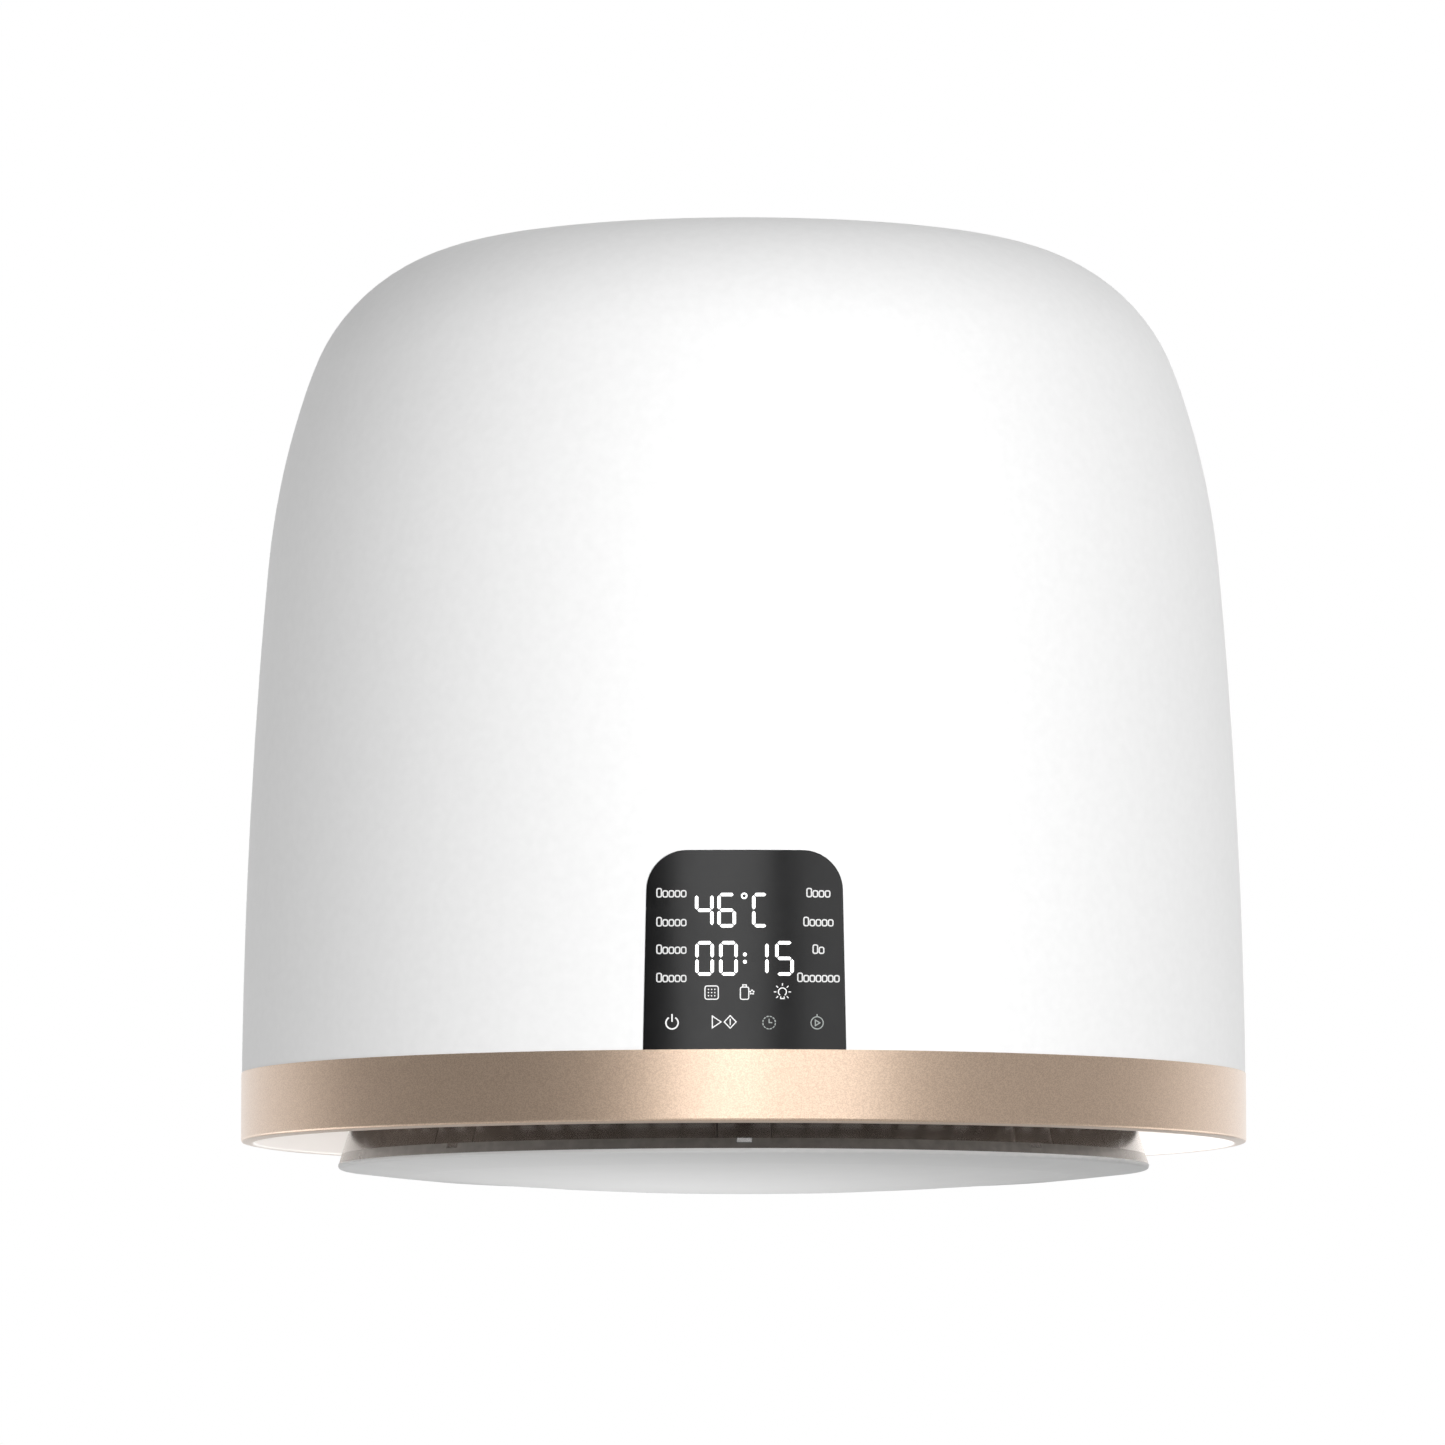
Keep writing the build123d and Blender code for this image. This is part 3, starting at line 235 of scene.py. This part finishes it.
band_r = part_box("trim_band")[1].x
BAND_INNER_R, BAND_OUTER_R = band_r - 3.9 * MM, band_r - 3.0 * MM  # where the inner wall's painted pale light gives way to the metal
SHADE_START_R, SHADE_FULL_R = 40.0 * MM, 130.0 * MM  # where the disc's painted shade starts and stops deepening
SHELL_DARK, SHELL_LIGHT = linear(243, 243, 243), linear(246, 246, 246)
GREY, PALE = linear(118, 119, 122), linear(146, 147, 150)
LENS_DARK, LENS_LIGHT = linear(9, 9, 10), linear(14, 14, 15)
FILLED_DARK, FILLED_LIGHT = linear(34, 34, 36), linear(50, 50, 52)
BAIL_DARK, BAIL_LIGHT = linear(182, 181, 179), linear(196, 195, 193)
FIN_DARK, FIN_LIGHT = linear(185, 187, 190), linear(212, 213, 215)
looks = {
    "shell": moulded(
        "white_shell", SHELL_DARK, SHELL_LIGHT, (0.44, 0.5), 900.0, 0.000012, Specular_IOR_Level=0.35
    ),
    "disc": dished_disc(),
    "band": grained_band(),
    "lens": moulded(
        "black_glass", LENS_DARK, LENS_LIGHT, (0.18, 0.22), 300.0, 0.000004, Specular_IOR_Level=0.25
    ),
    "cone": smoked_cone(),
    "ring": moulded("dark_gloss", linear(82, 78, 75), linear(92, 88, 84), (0.14, 0.20), 700.0, 0.00001),
    "grille": moulded("dark_grille", linear(74, 69, 65), linear(92, 86, 81), (0.45, 0.6), 1100.0, 0.00004),
    "duct": moulded("duct_plastic", GREY, PALE, (0.5, 0.65), 1200.0, 0.00005),
    "glass_filled": moulded("glass_filled", FILLED_DARK, FILLED_LIGHT, (0.4, 0.6), 1600.0, 0.00005),
    "rubber": moulded("soft_grip", linear(34, 34, 35), linear(46, 46, 47), (0.7, 0.85), 1300.0, 0.00004),
    "steel": metal("zinc_steel", linear(150, 152, 156), linear(192, 193, 196), (0.28, 0.42), (1, 1, 1)),
    "brushed": metal("brushed_steel", BAIL_DARK, BAIL_LIGHT, (0.26, 0.32), (1, 1, 1), 0.000006),
    "iron": metal("motor_metal", linear(92, 94, 99), linear(122, 124, 129), (0.38, 0.52), (1, 1, 0.2)),
    "aluminium": metal("heater_aluminium", FIN_DARK, FIN_LIGHT, (0.3, 0.45), (1, 0.2, 1)),
    "copper": wound_copper(),
    "brass": metal("blade_brass", linear(176, 142, 84), linear(214, 182, 120), (0.2, 0.32), (1, 0.1, 1)),
    "board": circuit_board(),
    "felt": felt(),
    "screen": metal("screen_wire", linear(96, 98, 102), linear(132, 134, 138), (0.35, 0.5), (1, 1, 1)),
    "led": moulded("led_lens", linear(226, 226, 236), linear(240, 240, 248), (0.1, 0.16), 800.0, 0.00001),
    "digits": glowing("lit_digits", (1.0, 1.0, 1.0, 1.0), 1.0),
    "labels": glowing("lit_labels", (0.52, 0.52, 0.52, 1.0), 0.55),
    "keys": glowing("lit_keys", (0.62, 0.62, 0.62, 1.0), 0.6),
    "dim_keys": glowing("dim_keys", (0.24, 0.26, 0.25, 1.0), 0.45),
}
worn_by = {
    "shell": ["housing", "filter_cover", "bail_cup"],
    "disc": ["bottom_disc"],
    "band": ["trim_band"],
    "lens": ["display_lens"],
    "cone": ["outlet_cone"],
    "ring": ["cone_base_ring"],
    "grille": ["outlet_grille", "intake_frame"],
    "duct": ["lower_duct", "flow_core", "fan_shroud", "motor_bracket", "filter_frame", "scent_holder"],
    "glass_filled": ["impeller", "heater_frame", "mains_inlet", "icon_mask"]
    + ["power_components", "display_carrier"],
    "rubber": ["bail_grip", "fan_isolators", "touch_pads"],
    "steel": [name for name in nodes if name.endswith(("_screws", "_bolts", "_nuts", "_nut"))]
    + ["load_bracket", "suspension_rods", "motor_shaft", "motor_bearings", "board_bracket", "bail_pins"],
    "brushed": ["hanging_bail"],
    "iron": ["motor_can", "motor_stator", "motor_rotor", "thermal_cutout"],
    "aluminium": ["heater_bars", "heater_fins", "air_sensor"],
    "copper": ["stator_coils"],
    "brass": ["inlet_blades"],
    "board": ["display_board", "uv_board", "power_board"],
    "felt": ["scent_pad"],
    "screen": ["filter_mesh"],
    "led": ["uv_leds", "icon_leds", "digit_modules"],
}
for look, names in worn_by.items():
    for name in names:
        nodes[name].data.materials.clear()
        nodes[name].data.materials.append(looks[look])


# ---- Display marks -------------------------------------------------------------------------------
lens_surface = BVHTree.FromPolygons(
    [vertex.co for vertex in nodes["display_lens"].data.vertices],
    [polygon.vertices for polygon in nodes["display_lens"].data.polygons],
)
PROUD, SUNK = 0.12 * MM, 0.10 * MM  # how far a mark stands out of the lens, and reaches into it


def on_lens(x, height, lift):
    """The point of the lens at x and a height above the rim, both in millimetres, moved out by lift."""
    start = Vector((x * MM, -0.4, RIM_Z + height * MM))
    place, normal, _, _ = lens_surface.ray_cast(start, Vector((0, 1, 0)))
    return place + normal * lift


class Marks:
    """Flat marks on the lens, gathered into one mesh of closed thin plates."""

    def __init__(self):
        self.mesh = bmesh.new()

    def plate(self, corners):
        """A convex outline of (x, height) corners."""
        front = [self.mesh.verts.new(on_lens(x, height, PROUD)) for x, height in corners]
        back = [self.mesh.verts.new(on_lens(x, height, -SUNK)) for x, height in corners]
        self.mesh.faces.new(front)
        self.mesh.faces.new(back[::-1])
        for here, after in zip(range(len(corners)), [*range(1, len(corners)), 0]):
            self.mesh.faces.new((front[after], front[here], back[here], back[after]))

    def line(self, points, width, closed=False):
        """A line of a width through (x, height) points, mitred at its corners."""
        count = len(points)
        left, right = [], []
        for index, (x, height) in enumerate(points):
            before = points[index - 1] if index or closed else None
            after = points[(index + 1) % count] if index < count - 1 or closed else None
            turns = []
            for start, end in ((before, (x, height)), ((x, height), after)):
                if start and end:
                    turns.append(Vector((end[0] - start[0], end[1] - start[1])).normalized())
            heading = sum(turns, Vector((0, 0))).normalized()
            reach = width / 2 / max(0.35, heading.dot(turns[0]))
            left.append((x - heading.y * reach, height + heading.x * reach))
            right.append((x + heading.y * reach, height - heading.x * reach))
        rows = []
        for side, lift in ((left, PROUD), (right, PROUD), (right, -SUNK), (left, -SUNK)):
            rows.append([self.mesh.verts.new(on_lens(x, height, lift)) for x, height in side])
        last = count if closed else count - 1
        for index in range(last):
            after = (index + 1) % count
            for row, following in zip(rows, rows[1:] + rows[:1]):
                self.mesh.faces.new((row[index], row[after], following[after], following[index]))
        if not closed:
            self.mesh.faces.new([row[0] for row in rows])
            self.mesh.faces.new([row[-1] for row in rows][::-1])

    def arc(self, x, height, radius, width, start=0.0, sweep=360.0):
        """A round line about a centre, from a start angle through a sweep, in degrees."""
        steps = max(6, round(abs(sweep) / 15))
        closed = abs(sweep) >= 360
        angles = [radians(start + sweep * step / steps) for step in range(steps + (not closed))]
        self.line([(x + radius * cos(a), height + radius * sin(a)) for a in angles], width, closed)

    def dot(self, x, height, radius):
        turns = [2 * pi * step / 12 for step in range(12)]
        self.plate([(x + radius * cos(turn), height + radius * sin(turn)) for turn in turns])

    def finish(self, name, look):
        """Makes the piece, which stays with the lens."""
        bmesh.ops.recalc_face_normals(self.mesh, faces=self.mesh.faces)
        data = bpy.data.meshes.new(name)
        self.mesh.to_mesh(data)
        self.mesh.free()
        piece = bpy.data.objects.new(name, data)
        bpy.context.scene.collection.objects.link(piece)
        data.materials.append(looks[look])
        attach(piece, "housing_body")


# The seven segments' ends, in halves of a digit's width and height, and the segments of each figure
SEGMENTS = {
    "top": ((-1, 1), (1, 1)),
    "middle": ((-1, 0), (1, 0)),
    "foot": ((-1, -1), (1, -1)),
    "upper left": ((-1, 0), (-1, 1)),
    "upper right": ((1, 0), (1, 1)),
    "lower left": ((-1, -1), (-1, 0)),
    "lower right": ((1, -1), (1, 0)),
}
FIGURES = {
    "0": ("top", "foot", "upper left", "upper right", "lower left", "lower right"),
    "1": ("upper right", "lower right"),
    "4": ("upper left", "upper right", "middle", "lower right"),
    "5": ("top", "upper left", "middle", "lower right", "foot"),
    "6": ("top", "upper left", "middle", "lower left", "lower right", "foot"),
    "C": ("top", "upper left", "lower left", "foot"),
}
DIGIT_W, DIGIT_H, BAR_W, BAR_GAP = 5.3, 9.9, 0.95, 0.22


def figure(marks, shape, x, height, width=DIGIT_W, tall=DIGIT_H):
    """A seven-segment figure centred at x and a height."""
    half_w, half_h, half_bar = (width - BAR_W) / 2, (tall - BAR_W) / 2, BAR_W / 2
    for segment in FIGURES[shape]:
        (x0, h0), (x1, h1) = [(x + a * half_w, height + b * half_h) for a, b in SEGMENTS[segment]]
        along = Vector((x1 - x0, h1 - h0)).normalized()
        across = Vector((-along.y, along.x)) * half_bar
        start = Vector((x0, h0)) + along * BAR_GAP
        end = Vector((x1, h1)) - along * BAR_GAP
        near, far = start + along * half_bar, end - along * half_bar
        ends = (start, near - across, far - across, end, far + across, near + across)
        marks.plate([tuple(corner) for corner in ends])


digits = Marks()
for shape, x in (("4", -11.5), ("6", -5.1)):
    figure(digits, shape, x, 39.8)
figure(digits, "C", 4.5, 39.8, width=4.7)
digits.arc(-0.1, 43.9, 0.7, 0.42)
for shape, x in (("0", -11.4), ("0", -4.6), ("1", 4.2), ("5", 11.4)):
    figure(digits, shape, x, 26.0)
for height in (25.0, 27.1):
    digits.dot(0.1, height, 0.55)
digits.finish("lit_digits", "digits")


def rounded(x, height, half_w, half_h, radius):
    """The points of a rounded rectangle."""
    points = []
    for quarter, (sx, sy) in enumerate(((1, 1), (-1, 1), (-1, -1), (1, -1))):
        for step in range(4):
            turn = radians(90 * quarter + 30 * step)
            corner_x, corner_h = x + sx * (half_w - radius), height + sy * (half_h - radius)
            points.append((corner_x + radius * cos(turn), corner_h + radius * sin(turn)))
    return points


# Programme labels beside the digits, each a row of blank letters with a taller first one
LETTER_W, LETTER_PITCH, LOW_LETTER, TALL_LETTER = 1.3, 1.75, 1.75, 2.4
labels = Marks()
for x, counts in ((-20.9, (5, 5, 5, 5)), (21.1, (4, 5, 2, 7))):
    for height, count in zip((44.9, 36.6, 28.7, 20.6), counts):
        for place in range(count):
            tall = LOW_LETTER if place else TALL_LETTER
            centre = x + LETTER_PITCH * (place - (count - 1) / 2)
            foot = height - TALL_LETTER / 2
            labels.line(rounded(centre, foot + tall / 2, LETTER_W / 2, tall / 2, 0.45), 0.36, closed=True)
labels.finish("programme_labels", "labels")

# Filter, scent and lamp pictograms under the digits
ICON_H, THIN = 16.2, 0.3
icons = Marks()
icons.line(rounded(-9.4, ICON_H, 1.9, 1.9, 0.6), THIN, closed=True)
for column in range(3):
    for row in range(3):
        icons.dot(-10.3 + 0.9 * column, ICON_H - 0.9 + 0.9 * row, 0.2)
icons.line(rounded(0.0, ICON_H - 0.2, 1.2, 1.75, 0.5), THIN, closed=True)
icons.line([(-0.5, ICON_H + 1.7), (-0.5, ICON_H + 2.2), (0.5, ICON_H + 2.2), (0.5, ICON_H + 1.7)], THIN)
for petal in range(5):
    turn = radians(90 + 72 * petal)
    icons.dot(2.1 + 0.52 * cos(turn), ICON_H + 0.1 + 0.52 * sin(turn), 0.26)
icons.arc(10.8, ICON_H + 0.2, 1.15, THIN, start=-55, sweep=290)
icons.line([(10.3, ICON_H - 1.1), (10.3, ICON_H - 1.7), (11.3, ICON_H - 1.7), (11.3, ICON_H - 1.1)], THIN)
for ray in range(7):
    turn = radians(-45 + 45 * ray)
    spoke = [(10.8 + reach * cos(turn), ICON_H + 0.2 + reach * sin(turn)) for reach in (1.75, 2.45)]
    icons.line(spoke, THIN)
icons.finish("pictograms", "keys")

# Touch keys: power and start are bright, the timers dim
KEY_H = 7.8
bright = Marks()
bright.arc(-20.7, KEY_H - 0.2, 1.75, 0.4, start=122, sweep=296)
bright.line([(-20.7, KEY_H + 0.1), (-20.7, KEY_H + 2.3)], 0.4)
bright.line([(-9.2, KEY_H + 1.7), (-9.2, KEY_H - 1.7), (-6.7, KEY_H)], THIN, closed=True)
bright.line([(-4.1, KEY_H + 1.8), (-2.4, KEY_H), (-4.1, KEY_H - 1.8), (-5.8, KEY_H)], THIN, closed=True)
bright.line([(-4.1, KEY_H + 0.9), (-4.1, KEY_H - 0.9)], THIN)
bright.finish("bright_keys", "keys")

dim = Marks()
for dash in range(12):
    dim.arc(7.0, KEY_H - 0.2, 1.8, THIN, start=30 * dash + 4, sweep=22)
dim.line([(7.0, KEY_H + 0.9), (7.0, KEY_H - 0.2), (7.9, KEY_H - 0.2)], THIN)
dim.arc(20.7, KEY_H - 0.2, 1.75, THIN)
dim.line([(20.7, KEY_H + 1.6), (20.7, KEY_H + 2.3)], THIN)
dim.line([(20.2, KEY_H + 0.6), (20.2, KEY_H - 1.0), (21.5, KEY_H - 0.2)], THIN, closed=True)
dim.finish("dim_keys", "dim_keys")


# ---- Filter screen and grip ----------------------------------------------------------------------
def woven(low, high, corner, pitch, wire, rise):
    """A plain-weave wire screen that fills a rounded rectangle in a plane of x and z, in metres."""
    centre = (low + high) / 2
    half_x, half_z = (high.x - low.x) / 2, (high.z - low.z) / 2
    vertices, faces = [], []
    for upright in (False, True):
        reach, span = (half_z, half_x) if upright else (half_x, half_z)
        lanes = int((span - wire) / pitch)
        for lane in range(-lanes, lanes + 1):
            aside = lane * pitch
            beyond = max(0.0, abs(aside) - (span - corner))
            length = reach - corner + (corner**2 - beyond**2) ** 0.5
            turns = int(length / pitch)
            for turn in range(-turns, turns + 1):
                over = rise * (1 if (turn + lane + upright) % 2 else -1)
                for side, out in ((-wire, 0.0), (0.0, -wire), (wire, 0.0), (0.0, wire)):
                    if upright:
                        spot = (centre.x + aside + side, centre.y + over + out, centre.z + turn * pitch)
                    else:
                        spot = (centre.x + turn * pitch, centre.y + over + out, centre.z + aside + side)
                    vertices.append(spot)
                if turn > -turns:
                    last = len(vertices) - 4
                    for edge in range(4):
                        after = (edge + 1) % 4
                        faces.append((last + edge, last + after, last - 4 + after, last - 4 + edge))
            first = len(vertices) - 4 * (2 * turns + 1)
            faces.append(tuple(first + edge for edge in range(4)))
            faces.append(tuple(len(vertices) - 1 - edge for edge in range(4)))
    return vertices, faces


def add_piece(name, vertices, faces, look, body, slot, node, smooth=False):
    """A piece that stands for a CAD node and rides on its body."""
    data = bpy.data.meshes.new(name)
    data.from_pydata(vertices, [], faces)
    shape = bmesh.new()
    shape.from_mesh(data)
    bmesh.ops.recalc_face_normals(shape, faces=shape.faces)
    shape.to_mesh(data)
    shape.free()
    for polygon in data.polygons:
        polygon.use_smooth = smooth
    data.materials.append(looks[look])
    piece = bpy.data.objects.new(name, data)
    bpy.context.scene.collection.objects.link(piece)
    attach(piece, body)
    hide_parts(node)


screen_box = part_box("filter_mesh")
add_piece(
    "woven_screen",
    *woven(*screen_box, corner=11 * MM, pitch=1.5 * MM, wire=0.22 * MM, rise=0.24 * MM),
    "screen",
    "filter_door",
    "mesh_fabric",
    "filter_mesh",
)

# The grip's section along the bail, from one end to the other: ridges between plain, rounded ends
grip_low, grip_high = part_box("bail_grip")
GRIP_R, BORE_R, GROOVE = (grip_high.z - grip_low.z) / 2, 4.52 * MM, 0.7 * MM
RIDGE_PITCH, RIDGE_COUNT, AROUND = 4.0 * MM, 13, 48
grip_half = (grip_high.x - grip_low.x) / 2
section = [(-grip_half, BORE_R), (-grip_half, GRIP_R - 1.4 * MM), (-grip_half + 0.5 * MM, GRIP_R - 0.4 * MM)]
section.append((-grip_half + 1.4 * MM, GRIP_R))
for ridge in range(RIDGE_COUNT - 1):
    groove_x = (ridge - (RIDGE_COUNT - 2) / 2) * RIDGE_PITCH
    for across, down in ((-0.9, 0.0), (-0.5, 0.8), (0.0, 1.0), (0.5, 0.8), (0.9, 0.0)):
        section.append((groove_x + across * MM, GRIP_R - down * GROOVE))
section += [(-x, radius) for x, radius in section[3::-1]]
grip_y, grip_z = (grip_low.y + grip_high.y) / 2, (grip_low.z + grip_high.z) / 2
grip_vertices, grip_faces = [], []
for step in range(AROUND):
    turn = 2 * pi * step / AROUND
    for x, radius in section:
        grip_vertices.append((x, grip_y + radius * cos(turn), grip_z + radius * sin(turn)))
for step in range(AROUND):
    here, after = step * len(section), (step + 1) % AROUND * len(section)
    for place in range(len(section)):
        beyond = (place + 1) % len(section)
        grip_faces.append((here + place, here + beyond, after + beyond, after + place))
add_piece("ridged_grip", grip_vertices, grip_faces, "rubber", "bail", "soft_grip", "bail_grip", smooth=True)


# ---- Light, floor and camera ---------------------------------------------------------------------
def softbox(name, place, width, height, radiance, mirrored=True):
    """A soft panel aimed at the dryer; one that isn't mirrored lights it without showing in its gloss."""
    data = bpy.data.lights.new(name, "AREA")
    data.shape = "RECTANGLE"
    data.size, data.size_y, data.energy = width, height, pi * width * height * radiance
    lamp = bpy.data.objects.new(name, data)
    bpy.context.scene.collection.objects.link(lamp)
    lamp.location = place
    lamp.rotation_euler = (CENTRE - Vector(place)).to_track_quat("-Z", "Y").to_euler()
    lamp.visible_camera = False
    lamp.visible_glossy = mirrored


CENTRE = Vector((0.0, 0.0, -0.13))
softbox("front_panel", (-0.25, -3.0, 0.35), 1.15, 1.5, 3.7)
softbox("front_right", (1.0, -2.7, 0.3), 0.9, 1.5, 2.5)
softbox("key", (0.9, -2.0, 0.4), 1.8, 1.8, 2.4, mirrored=False)
softbox("left_fill", (-1.3, -2.0, 0.1), 1.5, 1.8, 1.1, mirrored=False)
softbox("low_fill", (-0.3, -1.6, -1.2), 1.2, 1.0, 0.6)
softbox("disc_light", (-0.02, -0.06, -0.42), 0.12, 0.12, 2.0, mirrored=False)
softbox("low_right", (1.5, 0.9, -0.9), 1.2, 1.2, 1.2)
softbox("low_left", (-1.5, 0.9, -0.9), 1.2, 1.2, 1.5)

# Bounce from the sides, for the trim band's pale inner wall and the cone only. The one piece that may
# shade it is the CAD grip, which isn't shown.
LIT_BY_BOUNCE = ["trim_band", "outlet_cone", "cone_base_ring"]
for name, x, radiance in (("bounce_left", -1.2, 20.0), ("bounce_right", 1.2, 11.0)):
    softbox(name, (x, 0.2, -0.6), 0.9, 0.6, radiance, mirrored=False)
    for use, members in (("receiver_collection", LIT_BY_BOUNCE), ("blocker_collection", ["bail_grip"])):
        group = bpy.data.collections.new(f"{name}_{use}")
        for member in members:
            group.objects.link(nodes[member])
        setattr(bpy.data.objects[name].light_linking, use, group)

# The studio: darkest at the left, lighter at the right and brightest behind; white where the camera sees it
world = bpy.data.worlds.new("studio")
bpy.context.scene.world = world
world.use_nodes = True
studio = world.node_tree


def studio_node(kind, *inputs, operation=None):
    """A node of the studio's tree, with values or links as its first inputs."""
    node = studio.nodes.new(kind)
    if operation:
        node.operation = operation
    for socket, value in zip(node.inputs, inputs):
        if isinstance(value, bpy.types.NodeSocket):
            studio.links.new(value, socket)
        else:
            socket.default_value = value
    return node.outputs[0]


DARKEST, RIGHT_GAIN, REAR_GAIN, SEEN = 0.14, 0.2, 0.88, 1.0
heading = studio.nodes.new("ShaderNodeSeparateXYZ")
studio.links.new(studio_node("ShaderNodeTexCoord"), heading.inputs[0])
right = studio_node("ShaderNodeMapRange", heading.outputs["X"], -0.2, 0.6, 0.0, RIGHT_GAIN)
rear = studio_node("ShaderNodeMapRange", heading.outputs["Y"], 0.3, 1.0, 0.0, REAR_GAIN)
both = studio_node("ShaderNodeMath", right, rear, operation="ADD")
ambient = studio_node("ShaderNodeMath", both, DARKEST, operation="ADD")
ray = studio_node("ShaderNodeLightPath")
strength = studio_node("ShaderNodeMapRange", ray, 0.0, 1.0, ambient, SEEN)
studio.links.new(strength, studio.nodes["Background"].inputs["Strength"])
studio.nodes["Background"].inputs["Color"].default_value = (1.0, 1.0, 1.0, 1.0)

FLOOR_DROP, FLOOR_HALF = 2.4, 9.0
floor_mesh = bpy.data.meshes.new("floor")
corner_signs = ((-1, -1), (1, -1), (1, 1), (-1, 1))
floor_corners = [(x * FLOOR_HALF, y * FLOOR_HALF, -FLOOR_DROP) for x, y in corner_signs]
floor_mesh.from_pydata(floor_corners, [], [(0, 1, 2, 3)])
floor = bpy.data.objects.new("floor", floor_mesh)
bpy.context.scene.collection.objects.link(floor)
floor_mesh.materials.append(
    moulded("pale_floor", linear(232, 232, 231), linear(240, 240, 239), (0.7, 0.8), 60.0, 0.0001)
)

camera_data = bpy.data.cameras.new("camera")
camera_data.sensor_width, camera_data.lens = 36.0, 275.3
camera_data.clip_end = 50.0
camera = bpy.data.objects.new("camera", camera_data)
camera.location = (-0.0063, -3.300, -0.4016)
camera.rotation_euler = (radians(90 + 4.63), 0.0, 0.0)
bpy.context.scene.collection.objects.link(camera)
bpy.context.scene.camera = camera
bpy.context.scene.view_settings.view_transform = "Standard"
